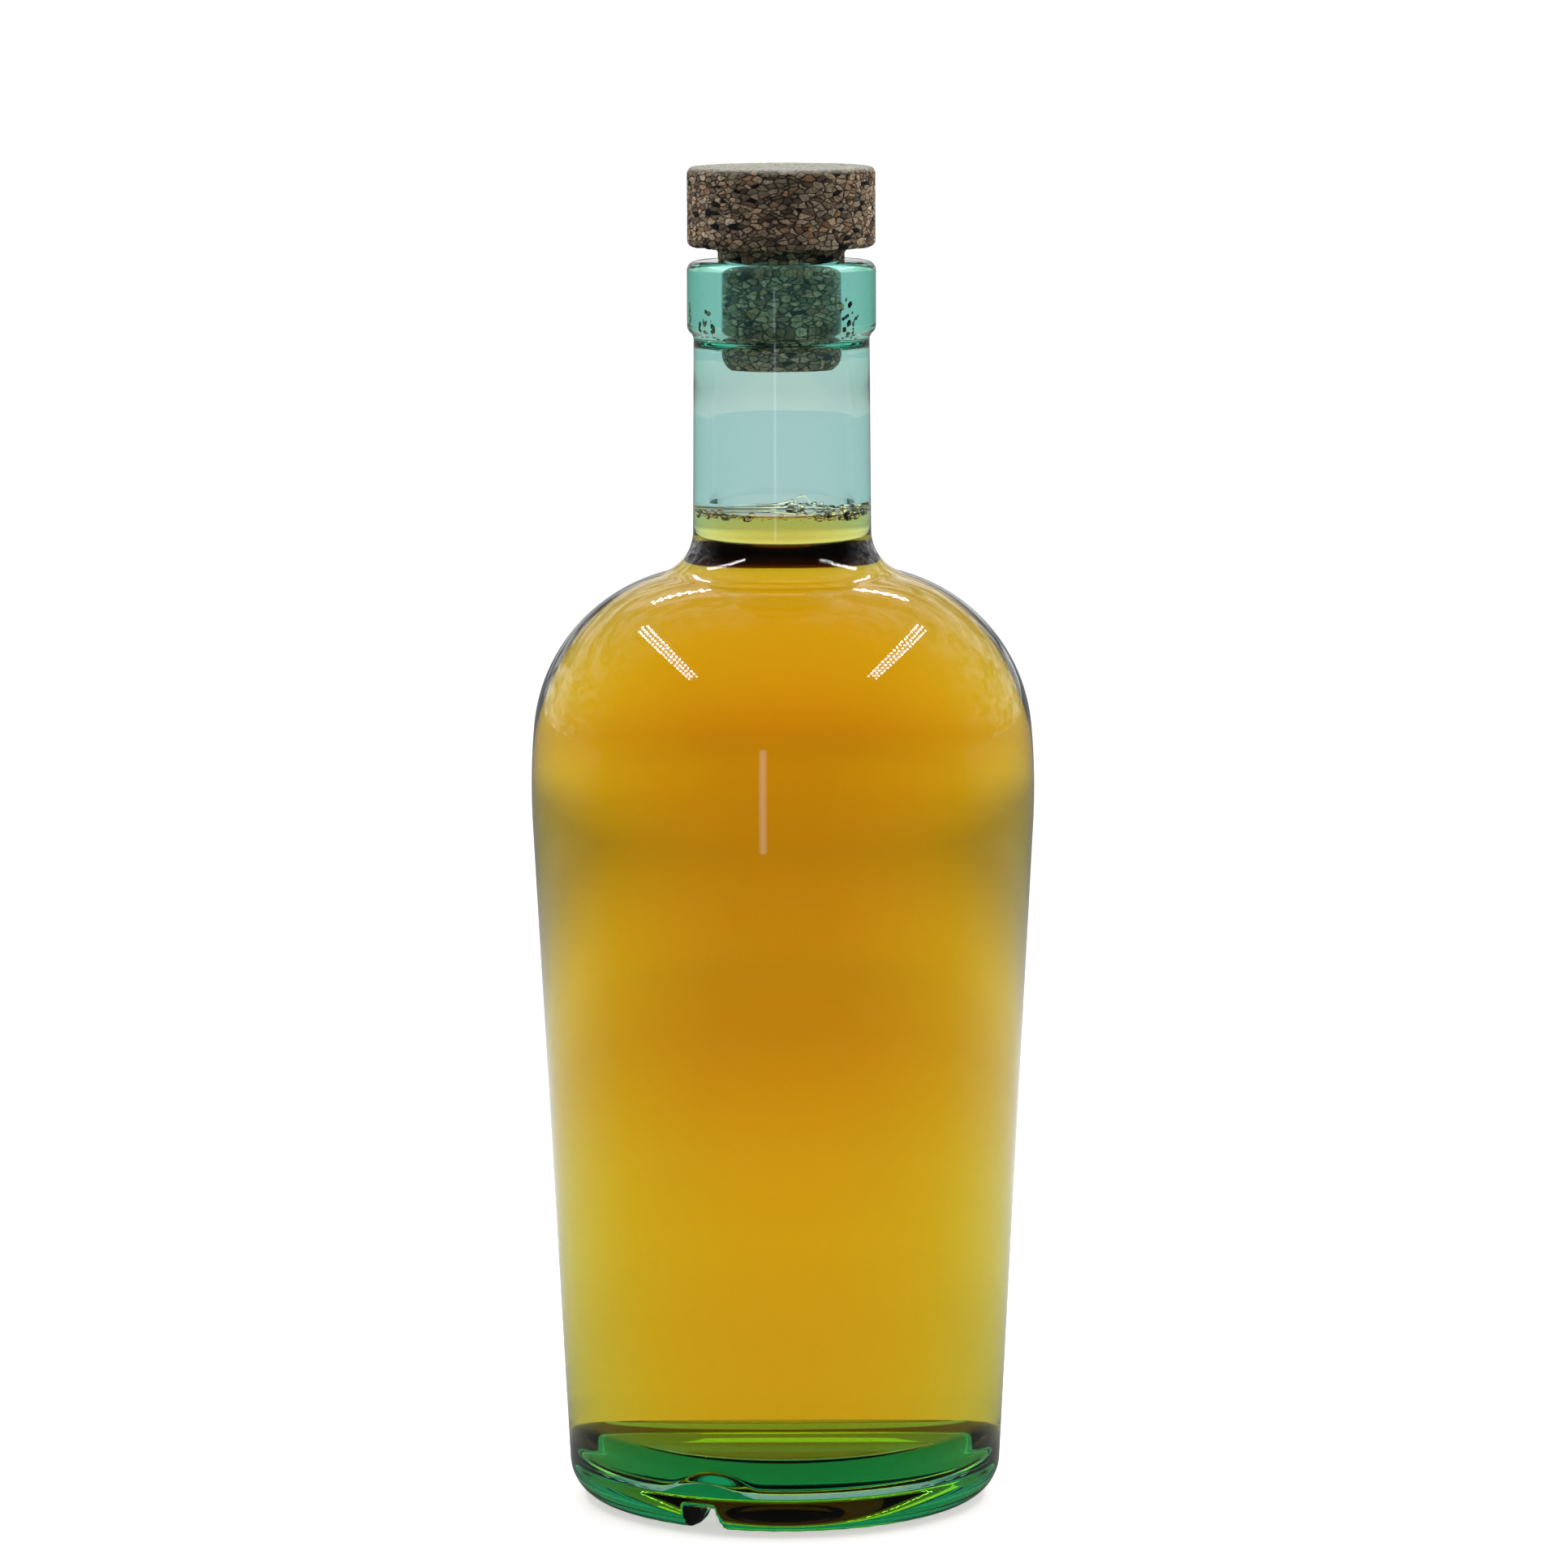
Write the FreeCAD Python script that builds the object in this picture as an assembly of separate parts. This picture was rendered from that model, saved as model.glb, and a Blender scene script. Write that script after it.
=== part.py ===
import FreeCAD, Part
import math
import os

# A corked glass bottle for a spirit: a moulded bottle of aqua-green glass, the drink in it, and a
# one-piece stopper turned from agglomerated cork. Millimetres, +Z up. The origin is on the bottle's
# axis, at the height of the bearing ring that it stands on. -Y is the front.

# ---- Bottle: outside
BODY_RADIUS = 44.5          # at the widest place, just under the shoulder
WIDEST_HEIGHT = 127.2       # height of that place above the table
HIP_RADIUS = 120.0          # long curve that eases the tapered side into the shoulder
SHOULDER_RADIUS = 30.5      # the round of the shoulder
SHOULDER_RISE = 45.6        # from the widest place up to the root of the neck
NECK_ROOT_RADIUS = 15.7     # outside of the neck where it leaves the shoulder
NECK_FILLET = 8.1           # hollow between shoulder and neck
NECK_LENGTH = 33.6          # from its root to the ring of the finish
NECK_DRAFT = 0.4            # degrees, the neck narrows upwards
HEEL_RADIUS = 7.0           # round between the side and the base
HEEL_CENTRE_RADIUS = 31.4   # where that round runs out into the bearing ring

# ---- Bottle: the finish, the thick ring that takes the cork
FINISH_RADIUS = 16.6
FINISH_HEIGHT = 14.0
FINISH_STEP_HEIGHT = 2.5    # S-curve from the ring back to the neck
FINISH_CORNER = 1.6         # outer round of the rim
RIM_SLOPE = 3.5             # degrees, the rim's top rises towards the bore
LIP_RADIUS = 0.8            # round into the bore
BORE_RADIUS = 10.55
BORE_LENGTH = 15.2          # below it the bore opens out into the neck
BORE_MOUTH_FILLET = 1.4

# ---- Bottle: wall and base
NECK_WALL = 2.75
SHOULDER_WALL = 2.8
HEEL_WALL = 3.6
BASE_THICKNESS = 6.3        # lowest place of the inner floor, the channel round its plateau
FLOOR_CROWN = 6.0           # the plateau in the middle stands this much above the channel
CROWN_FLAT = 24.0           # radius of the level top of the plateau
KNUCKLE_RADIUS = 3.0        # inner round between wall and floor
BEARING_WIDTH = 1.6         # flat ring that touches the table
PUNT_HEIGHT = 5.0           # push-up under the base
PUNT_FLAT = 22.0            # radius of its level roof

# ---- Bottle: registration notch in the heel and the swell of glass over it
NOTCH_ANGLE = 23.5          # degrees to the left of the front
NOTCH_WIDTH = 7.0           # at the outside of the heel
NOTCH_HEIGHT = 5.4
NOTCH_CORNER = 1.4
NOTCH_INNER_WIDTH = 5.6     # at its inner end, in the middle of the bearing ring
NOTCH_INNER_HEIGHT = 0.5
NOTCH_OVERCUT = 1.0         # the cut starts this far outside the heel
SWELL_RADIUS = 8.0
SWELL_HEIGHT = 4.0          # above the channel
SWELL_INSET = 1.4           # its centre lies this far inside the bearing ring's outer edge

# ---- Drink
FILL_DROP = 44.5            # surface of the drink below the rim

# ---- Cork stopper, one piece
HEAD_RADIUS = 16.55
HEAD_HEIGHT = 14.1
HEAD_EDGE = 1.25
HEAD_GAP = 2.2             # the head stands this far above the rim, the cork isn't pushed home
SHANK_SQUEEZE = 0.6         # the free shank is this much larger in radius than the bore
SHANK_LENGTH = 21.2
SHANK_HOLLOW = 1.4          # hollow between head and shank
SHANK_END_DROP = 2.7        # rounded-off end of the shank: along the axis
SHANK_END_INSET = 1.8       # and across it


# ---- Places worked out from the sizes
NECK_ROOT_HEIGHT = WIDEST_HEIGHT + SHOULDER_RISE
FINISH_BASE_HEIGHT = NECK_ROOT_HEIGHT + NECK_LENGTH
RIM_HEIGHT = FINISH_BASE_HEIGHT + FINISH_HEIGHT
FILL_HEIGHT = RIM_HEIGHT - FILL_DROP
BELOW = 5.0                 # how far a cutting shape reaches past what it cuts

UP = FreeCAD.Vector(0, 0, 1)
AXIS_POINT = FreeCAD.Vector(0, 0, 0)


class Circle:
    """A circle in the plane of the profile: centre at radius r and height z, and its own radius."""

    def __init__(self, r, z, size):
        self.r = r
        self.z = z
        self.size = size

    def at(self, degrees):
        """The point of the circle at an angle that is counted from outwards to upwards."""
        turn = math.radians(degrees)
        return (self.r + self.size * math.cos(turn), self.z + self.size * math.sin(turn))

    def toward(self, r, z):
        """The angle at which the circle's centre sees a point."""
        return math.degrees(math.atan2(z - self.z, r - self.r))


class Profile:
    """Half of a section through the axis, drawn as lines and arcs and then turned into a solid."""

    def __init__(self, r, z):
        self.first = (r, z)
        self.last = (r, z)
        self.edges = []

    @staticmethod
    def vector(point):
        return FreeCAD.Vector(point[0], 0, point[1])

    def line(self, r, z):
        if math.hypot(r - self.last[0], z - self.last[1]) > 1e-6:
            self.edges.append(Part.LineSegment(self.vector(self.last), self.vector((r, z))).toShape())
            self.last = (r, z)
        return self

    def arc(self, circle, start, end):
        """An arc of the circle from one angle to another. A straight line leads to where it starts."""
        self.line(*circle.at(start))
        middle = circle.at((start + end) / 2)
        last = circle.at(end)
        curve = Part.Arc(self.vector(self.last), self.vector(middle), self.vector(last))
        self.edges.append(curve.toShape())
        self.last = last
        return self

    def turned(self):
        self.line(*self.first)
        face = Part.Face(Part.Wire(self.edges))
        return face.revolve(AXIS_POINT, UP, 360)


def tangent_angle(low, high):
    """The direction of the outward normal of the line that lies against two circles on their outer side."""
    across = high.r - low.r
    along = high.z - low.z
    reach = math.hypot(across, along)
    lean = math.degrees(math.asin((low.size - high.size) / reach))
    return math.degrees(math.atan2(along, across)) - 90 + lean


def touching_circle(hip, hollow, size):
    """The circle that rolls inside the hip curve and outside the hollow of the neck, on the outer side."""
    from_hip = hip.size - size
    from_hollow = hollow.size + size
    across = hollow.r - hip.r
    along = hollow.z - hip.z
    reach = math.hypot(across, along)
    foot = (from_hip ** 2 - from_hollow ** 2 + reach ** 2) / (2 * reach)
    side = math.sqrt(from_hip ** 2 - foot ** 2)
    r = hip.r + (foot * across + side * along) / reach
    z = hip.z + (foot * along - side * across) / reach
    return Circle(r, z, size)


def body_circles():
    """The four rounds of the outside, from the heel up to the hollow at the root of the neck."""
    heel = Circle(HEEL_CENTRE_RADIUS, HEEL_RADIUS, HEEL_RADIUS)
    hip = Circle(BODY_RADIUS - HIP_RADIUS, WIDEST_HEIGHT, HIP_RADIUS)
    hollow = Circle(NECK_ROOT_RADIUS + NECK_FILLET, NECK_ROOT_HEIGHT, NECK_FILLET)
    shoulder = touching_circle(hip, hollow, SHOULDER_RADIUS)
    return heel, hip, shoulder, hollow


def add_side(profile, heel, hip, shoulder, hollow, start, neck_draft):
    """Heel, tapered side, shoulder and the hollow under the neck, each tangent to the next."""
    side = tangent_angle(heel, hip)
    hip_end = hip.toward(shoulder.r, shoulder.z)
    joint = hollow.toward(shoulder.r, shoulder.z)
    profile.arc(heel, start, side)
    profile.arc(hip, side, hip_end)
    profile.arc(shoulder, hip_end, joint + 180)
    profile.arc(hollow, joint + 360 if joint < 0 else joint, 180 + neck_draft)
    return profile


def add_roll_down(profile, flat, top, foot, bottom):
    """A level roof out to the radius flat, then two equal arcs down to level again at the foot."""
    drop, run = top - bottom, foot - flat
    turn = 2 * math.atan(drop / run)
    size = run / (2 * math.sin(turn))
    degrees = math.degrees(turn)
    profile.line(flat, top)
    profile.arc(Circle(flat, top - size, size), 90, 90 - degrees)
    profile.arc(Circle(foot, bottom + size, size), 270 - degrees, 270)


def step_round(drop, inset):
    """Radius and turn of the two equal arcs that make an S-curve of a given drop and inset."""
    turn = 2 * math.atan(inset / drop)
    return drop / (2 * math.sin(turn)), math.degrees(turn)


def neck_radius(height):
    """Outside of the neck, which narrows upwards from its root."""
    return NECK_ROOT_RADIUS - (height - NECK_ROOT_HEIGHT) * math.tan(math.radians(NECK_DRAFT))


def glass_outside():
    """The whole outside of the bottle as one solid, with the push-up under its base."""
    bearing_inner = HEEL_CENTRE_RADIUS - BEARING_WIDTH
    profile = Profile(0, PUNT_HEIGHT)
    add_roll_down(profile, PUNT_FLAT, PUNT_HEIGHT, bearing_inner, 0)
    add_side(profile, *body_circles(), -90, NECK_DRAFT)

    neck_top = neck_radius(FINISH_BASE_HEIGHT)
    size, turn = step_round(FINISH_STEP_HEIGHT, FINISH_RADIUS - neck_top)
    step_low = Circle(neck_top + size, FINISH_BASE_HEIGHT, size)
    step_high = Circle(FINISH_RADIUS - size, FINISH_BASE_HEIGHT + FINISH_STEP_HEIGHT, size)
    profile.arc(step_low, 180, 180 - turn)
    profile.arc(step_high, -turn, 0)

    lip_centre = BORE_RADIUS + LIP_RADIUS
    corner_centre = FINISH_RADIUS - FINISH_CORNER
    fall = math.tan(math.radians(RIM_SLOPE)) * (corner_centre - lip_centre)
    corner = Circle(corner_centre, RIM_HEIGHT - fall - FINISH_CORNER, FINISH_CORNER)
    profile.arc(corner, 0, 90 - RIM_SLOPE)
    profile.line(lip_centre, RIM_HEIGHT)
    profile.line(0, RIM_HEIGHT)
    return profile.turned()


def inner_circles():
    """The rounds of the inside. The wall is even at the shoulder and thickens down to the heel."""
    heel, hip, shoulder, hollow = body_circles()
    knuckle_r = heel.r + heel.size - HEEL_WALL - KNUCKLE_RADIUS
    knuckle = Circle(knuckle_r, BASE_THICKNESS + KNUCKLE_RADIUS, KNUCKLE_RADIUS)
    inner_hip = Circle(hip.r, hip.z, hip.size - SHOULDER_WALL)
    inner_shoulder = Circle(shoulder.r, shoulder.z, shoulder.size - SHOULDER_WALL)
    inner_hollow = Circle(hollow.r, hollow.z, hollow.size + SHOULDER_WALL)
    return knuckle, inner_hip, inner_shoulder, inner_hollow


def swell():
    """The swell of glass over the notch, as a ball that the inside of the bottle flows round."""
    turn = math.radians(-90 - NOTCH_ANGLE)
    centre_r = HEEL_CENTRE_RADIUS - SWELL_INSET
    centre_z = BASE_THICKNESS + SWELL_HEIGHT - SWELL_RADIUS
    centre = FreeCAD.Vector(centre_r * math.cos(turn), centre_r * math.sin(turn), centre_z)
    outward = FreeCAD.Vector(math.cos(turn), math.sin(turn), 0)
    return Part.makeSphere(SWELL_RADIUS, centre, outward)


def glass_inside():
    """The space inside the bottle: floor, knuckle, wall, neck and the bore of the finish."""
    knuckle, hip, shoulder, hollow = inner_circles()
    profile = Profile(0, BASE_THICKNESS + FLOOR_CROWN)
    add_roll_down(profile, CROWN_FLAT, BASE_THICKNESS + FLOOR_CROWN, knuckle.r, BASE_THICKNESS)
    add_side(profile, knuckle, hip, shoulder, hollow, -90, NECK_DRAFT)

    bore_end = RIM_HEIGHT - BORE_LENGTH
    neck_inner = neck_radius(bore_end) - NECK_WALL
    opening = neck_inner - BORE_RADIUS
    size, turn = step_round(BORE_MOUTH_FILLET * 2, opening)
    step_low = Circle(neck_inner - size, bore_end - BORE_MOUTH_FILLET * 2, size)
    step_high = Circle(BORE_RADIUS + size, bore_end, size)
    profile.arc(step_low, 0, turn)
    profile.arc(step_high, 180 + turn, 180)

    lip = Circle(BORE_RADIUS + LIP_RADIUS, RIM_HEIGHT - LIP_RADIUS, LIP_RADIUS)
    profile.arc(lip, 180, 90)
    profile.line(lip.r, RIM_HEIGHT + BELOW)
    profile.line(0, RIM_HEIGHT + BELOW)
    return profile.turned()


def arch(distance, width, height, corner):
    """The outline of the notch in a plane square to its direction, at a distance from the axis."""
    half = width / 2
    round_off = corner * math.cos(math.radians(45))
    corners = [
        (-half, -BELOW),
        (-half, height - corner),
        (-half + corner, height),
        (half - corner, height),
        (half, height - corner),
        (half, -BELOW),
    ]
    points = [FreeCAD.Vector(x, -distance, z) for x, z in corners]
    left = FreeCAD.Vector(-half + corner - round_off, -distance, height - corner + round_off)
    right = FreeCAD.Vector(half - corner + round_off, -distance, height - corner + round_off)
    curves = [
        Part.LineSegment(points[0], points[1]),
        Part.Arc(points[1], left, points[2]),
        Part.LineSegment(points[2], points[3]),
        Part.Arc(points[3], right, points[4]),
        Part.LineSegment(points[4], points[5]),
        Part.LineSegment(points[5], points[0]),
    ]
    return Part.Wire([curve.toShape() for curve in curves])


def notch():
    """The registration notch: its roof runs down from the outside of the heel to the bearing ring."""
    inner_end = HEEL_CENTRE_RADIUS - BEARING_WIDTH / 2
    length = HEEL_CENTRE_RADIUS + HEEL_RADIUS - inner_end
    past = 1 + NOTCH_OVERCUT / length
    width = NOTCH_INNER_WIDTH + (NOTCH_WIDTH - NOTCH_INNER_WIDTH) * past
    height = NOTCH_INNER_HEIGHT + (NOTCH_HEIGHT - NOTCH_INNER_HEIGHT) * past
    inner = arch(inner_end, NOTCH_INNER_WIDTH, NOTCH_INNER_HEIGHT, NOTCH_CORNER)
    outer = arch(inner_end + length * past, width, height, NOTCH_CORNER)
    cutter = Part.makeLoft([inner, outer], True, True)
    cutter.rotate(AXIS_POINT, UP, -NOTCH_ANGLE)
    return cutter


def bottle(inside):
    """The glass: the outside less the inside, with the notch cut into its heel."""
    return glass_outside().cut(inside).cut(notch())


def drink(inside):
    """The drink fills the inside up to its level."""
    below_level = Part.makeCylinder(BODY_RADIUS, FILL_HEIGHT)
    return inside.common(below_level)


def cork_stopper():
    """One turned piece of cork: a head to grip, and a shank that the bore squeezes a little."""
    head_low = RIM_HEIGHT + HEAD_GAP
    head_high = head_low + HEAD_HEIGHT
    shank_low = head_low - SHANK_LENGTH
    free_radius = BORE_RADIUS + SHANK_SQUEEZE

    end_size = (SHANK_END_INSET ** 2 + SHANK_END_DROP ** 2) / (2 * SHANK_END_INSET)
    end = Circle(BORE_RADIUS - end_size, shank_low + SHANK_END_DROP, end_size)
    end_turn = math.degrees(math.asin(SHANK_END_DROP / end_size))
    lip = Circle(BORE_RADIUS + LIP_RADIUS, RIM_HEIGHT - LIP_RADIUS, LIP_RADIUS)
    squeeze_end = 180 - math.degrees(math.acos(1 - SHANK_SQUEEZE / LIP_RADIUS))
    hollow = Circle(free_radius + SHANK_HOLLOW, head_low - SHANK_HOLLOW, SHANK_HOLLOW)
    edge_low = Circle(HEAD_RADIUS - HEAD_EDGE, head_low + HEAD_EDGE, HEAD_EDGE)
    edge_high = Circle(HEAD_RADIUS - HEAD_EDGE, head_high - HEAD_EDGE, HEAD_EDGE)

    profile = Profile(0, shank_low)
    profile.arc(end, -end_turn, 0)
    profile.arc(lip, 180, squeeze_end)
    profile.arc(hollow, 180, 90)
    profile.arc(edge_low, -90, 0)
    profile.arc(edge_high, 0, 90)
    profile.line(0, head_high)
    return profile.turned()


inside_space = glass_inside().cut(swell())
pieces = {
    "bottle": bottle(inside_space),
    "drink": drink(inside_space),
    "cork_stopper": cork_stopper(),
}

os.makedirs("parts", exist_ok=True)
for name, piece in pieces.items():
    piece.exportStep("parts/" + name + ".step")
    solids = len(piece.Solids)
    print(name, "solids", solids, "valid", piece.isValid(), "volume in ml", round(piece.Volume / 1000, 1))
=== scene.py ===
import math

import bmesh
import bpy
from mathutils import Matrix, Vector, noise


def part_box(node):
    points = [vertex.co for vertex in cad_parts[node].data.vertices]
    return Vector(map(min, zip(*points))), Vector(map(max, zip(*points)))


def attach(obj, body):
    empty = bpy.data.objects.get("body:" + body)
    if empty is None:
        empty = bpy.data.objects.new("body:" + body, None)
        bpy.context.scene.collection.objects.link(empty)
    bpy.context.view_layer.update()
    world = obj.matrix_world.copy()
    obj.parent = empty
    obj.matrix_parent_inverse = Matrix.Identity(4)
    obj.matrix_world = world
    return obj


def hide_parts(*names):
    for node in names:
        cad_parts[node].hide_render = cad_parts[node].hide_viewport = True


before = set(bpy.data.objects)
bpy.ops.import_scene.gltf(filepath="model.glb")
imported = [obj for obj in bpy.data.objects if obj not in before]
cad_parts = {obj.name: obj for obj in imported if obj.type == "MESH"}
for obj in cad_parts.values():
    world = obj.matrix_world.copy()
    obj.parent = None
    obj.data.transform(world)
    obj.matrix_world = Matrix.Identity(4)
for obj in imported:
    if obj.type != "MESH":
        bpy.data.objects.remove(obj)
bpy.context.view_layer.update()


# ---------------------------------------------------------------------------------------------
# The bottle. Aqua-green glass in one piece, about 3 mm thick in the wall and 7 mm in the base. It is
# blown in an iron mould: the outside takes the mould's form, and the inside stays slightly uneven.
# ---------------------------------------------------------------------------------------------
MM = 0.001
bottle_low, bottle_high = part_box("bottle")
drink_low, drink_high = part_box("drink")
rim_height = bottle_high[2]
body_radius = (bottle_high[0] - bottle_low[0]) / 2
fill_height = drink_high[2]
base_thickness = drink_low[2]

widest_height = 127.2 * MM
hip_radius = 120.0 * MM
shoulder_radius = 30.5 * MM
neck_root_height = 172.8 * MM
neck_root_radius = 15.7 * MM
neck_fillet = 8.1 * MM
neck_draft = 0.4
heel_radius = 7.0 * MM
heel_centre_radius = 31.4 * MM
finish_radius = 16.6 * MM
finish_base_height = 206.4 * MM
finish_step_height = 2.5 * MM
finish_corner = 1.6 * MM
rim_slope = 3.5
lip_radius = 0.8 * MM
bore_radius = 10.55 * MM
bore_end_height = 205.2 * MM
bore_step_height = 207.2 * MM
bore_step_drop = 2.6 * MM
bore_step_radius = 11.7 * MM
bore_easing = 13.0 * MM
neck_wall = 2.75 * MM
shoulder_wall = 2.8 * MM
heel_wall = 3.6 * MM
floor_crown = 6.0 * MM
knuckle_radius = 3.0 * MM
bearing_width = 1.6 * MM
punt_height = 5.0 * MM
punt_flat = 22.0 * MM
crown_flat = 24.0 * MM

notch_azimuth = math.radians(-90 - 23.5)
notch_width = 7.0 * MM
notch_inner_share = 0.86
notch_height = 5.4 * MM
notch_inner_height = 3.1 * MM
notch_edge = 0.75 * MM
notch_inner_end = 24.5 * MM
notch_inner_slope = 1 * MM
notch_round = 0.2 * MM
swell_height = 4.0 * MM
swell_spread = 7.4 * MM
swell_squeeze = 0.95
swell_inset = 1.4 * MM
swell_fall = 0.9
swell_reach = 1.6
swell_round = 1.3 * MM

stipple_depth = 0.22 * MM
stipple_count = 50
stipple_spread = 1.5
wave_depth = 0.07 * MM
wave_across, wave_up = 60, 22
ripple_share = 0.35
ripple_across, ripple_up, ripple_shift = 190, 60, 7
calm_radius = 5 * MM

# Distances between the points of a profile: the tighter it turns, the closer they are.
base_step = 0.5 * MM
ring_step = 0.3 * MM
side_step = 1.4 * MM
easing_step = 0.6 * MM
finish_step = 0.2 * MM
corner_step = 0.16 * MM
lip_step = 0.12 * MM
on_axis = 1e-7


class Circle:
    """A round of the profile: its centre at radius r and height z, and its own radius."""

    def __init__(self, r, z, size):
        self.r, self.z, self.size = r, z, size

    def arc(self, start, end, step):
        """Points along the round from one angle to another, counted from outwards to upwards."""
        count = max(2, math.ceil(abs(math.radians(end - start)) * abs(self.size) / step))
        turns = [math.radians(start + (end - start) * i / count) for i in range(count + 1)]
        return [(self.r + self.size * math.cos(a), self.z + self.size * math.sin(a)) for a in turns]

    def toward(self, r, z):
        return math.degrees(math.atan2(z - self.z, r - self.r))


def joined(*stretches, step=3 * MM):
    """One line of points through all the stretches, with straight runs divided by the step."""
    same_place = 1e-6
    line = []
    for stretch in stretches:
        if line:
            r, z = line[-1]
            gap = math.hypot(stretch[0][0] - r, stretch[0][1] - z)
            count = max(1, math.ceil(gap / step))
            for i in range(1, count):
                line.append((r + (stretch[0][0] - r) * i / count, z + (stretch[0][1] - z) * i / count))
        line += [p for p in stretch if not line or math.dist(p, line[-1]) > same_place]
    return line


def tangent_angle(low, high):
    """Outward direction of the straight side that lies against two rounds."""
    across, along = high.r - low.r, high.z - low.z
    lean = math.degrees(math.asin((low.size - high.size) / math.hypot(across, along)))
    return math.degrees(math.atan2(along, across)) - 90 + lean


def touching_circle(hip, hollow, size):
    """The shoulder: it rolls inside the hip's round and outside the hollow under the neck."""
    from_hip, from_hollow = hip.size - size, hollow.size + size
    across, along = hollow.r - hip.r, hollow.z - hip.z
    reach = math.hypot(across, along)
    foot = (from_hip ** 2 - from_hollow ** 2 + reach ** 2) / (2 * reach)
    side = math.sqrt(from_hip ** 2 - foot ** 2)
    r = hip.r + (foot * across + side * along) / reach
    z = hip.z + (foot * along - side * across) / reach
    return Circle(r, z, size)


def side_of(heel, hip, shoulder, hollow, step):
    """Heel, tapered side, shoulder and the hollow under the neck."""
    side = tangent_angle(heel, hip)
    hip_end = hip.toward(shoulder.r, shoulder.z)
    joint = hollow.toward(shoulder.r, shoulder.z) % 360
    return joined(
        heel.arc(-90, side, step / 3),
        hip.arc(side, hip_end, step),
        shoulder.arc(hip_end, joint - 180, step / 1.5),
        hollow.arc(joint, 180 + neck_draft, step / 2.5),
        step=2.5 * step,
    )


def s_curve(low, high, step):
    """Two equal rounds that lead from one radius to another, both ends upright."""
    drop, inset = high[1] - low[1], high[0] - low[0]
    turn = 2 * math.atan(abs(inset) / drop)
    size = drop / (2 * math.sin(turn))
    way = 1 if inset > 0 else -1
    first = Circle(low[0] + way * size, low[1], way * size)
    second = Circle(high[0] - way * size, high[1], way * size)
    degrees = math.degrees(turn)
    return joined(first.arc(180, 180 - way * degrees, step), second.arc(-way * degrees, 0, step))


def roll_down(high, low, step):
    """Two equal rounds that lead outwards from one height down to another, both ends level."""
    drop, run = high[1] - low[1], low[0] - high[0]
    turn = 2 * math.atan(drop / run)
    size = run / (2 * math.sin(turn))
    first = Circle(high[0], high[1] - size, size)
    second = Circle(low[0], low[1] + size, size)
    degrees = math.degrees(turn)
    return joined(first.arc(90, 90 - degrees, step), second.arc(270 - degrees, 270, step))


def neck_radius(height):
    return neck_root_radius - (height - neck_root_height) * math.tan(math.radians(neck_draft))


heel = Circle(heel_centre_radius, heel_radius, heel_radius)
hip = Circle(body_radius - hip_radius, widest_height, hip_radius)
hollow = Circle(neck_root_radius + neck_fillet, neck_root_height, neck_fillet)
shoulder = touching_circle(hip, hollow, shoulder_radius)


def outer_profile():
    """From the middle of the push-up round the heel and up to the rim."""
    roll_r = heel_centre_radius - bearing_width
    corner_r = finish_radius - finish_corner
    fall = math.tan(math.radians(rim_slope)) * (corner_r - bore_radius - lip_radius)
    corner = Circle(corner_r, rim_height - fall - finish_corner, finish_corner)
    return joined(
        [(0, punt_height)],
        roll_down((punt_flat, punt_height), (roll_r, 0), base_step),
        joined([(roll_r, 0)], [(heel_centre_radius, 0)], step=ring_step),
        side_of(heel, hip, shoulder, hollow, side_step),
        s_curve((neck_radius(finish_base_height), finish_base_height),
                (finish_radius, finish_base_height + finish_step_height), finish_step),
        corner.arc(0, 90 - rim_slope, corner_step),
    )


def inner_profile():
    """From the middle of the floor up the wall and the neck to the mouth of the bore."""
    knuckle_r = heel.r + heel.size - heel_wall - knuckle_radius
    knuckle = Circle(knuckle_r, base_thickness + knuckle_radius, knuckle_radius)
    neck_inner = neck_radius(bore_end_height) - neck_wall
    step_foot = bore_step_height - bore_step_drop
    lip = Circle(bore_radius + lip_radius, rim_height - lip_radius, lip_radius)
    return joined(
        [(0, base_thickness + floor_crown)],
        roll_down((crown_flat, base_thickness + floor_crown), (knuckle_r, base_thickness), base_step),
        side_of(knuckle, Circle(hip.r, hip.z, hip.size - shoulder_wall),
                Circle(shoulder.r, shoulder.z, shoulder.size - shoulder_wall),
                Circle(hollow.r, hollow.z, hollow.size + shoulder_wall), side_step),
        s_curve((neck_inner, step_foot - bore_easing), (bore_step_radius, step_foot), easing_step),
        s_curve((bore_step_radius, step_foot), (bore_radius, bore_step_height), finish_step),
        lip.arc(180, 90, lip_step),
    )


def smooth_max(a, b, soft):
    """The larger of two heights, with a round between them where they meet."""
    mix = max(0.0, min(1.0, 0.5 + (b - a) / (2 * soft)))
    return a + (b - a) * mix + soft * mix * (1 - mix)


def smooth_step(low, high, value):
    t = max(0.0, min(1.0, (value - low) / (high - low)))
    return t * t * (3 - 2 * t)


def beside_notch(x, y):
    """A point's place along the notch's direction, and across it."""
    c, s = math.cos(notch_azimuth), math.sin(notch_azimuth)
    return x * c + y * s, -x * s + y * c


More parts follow.
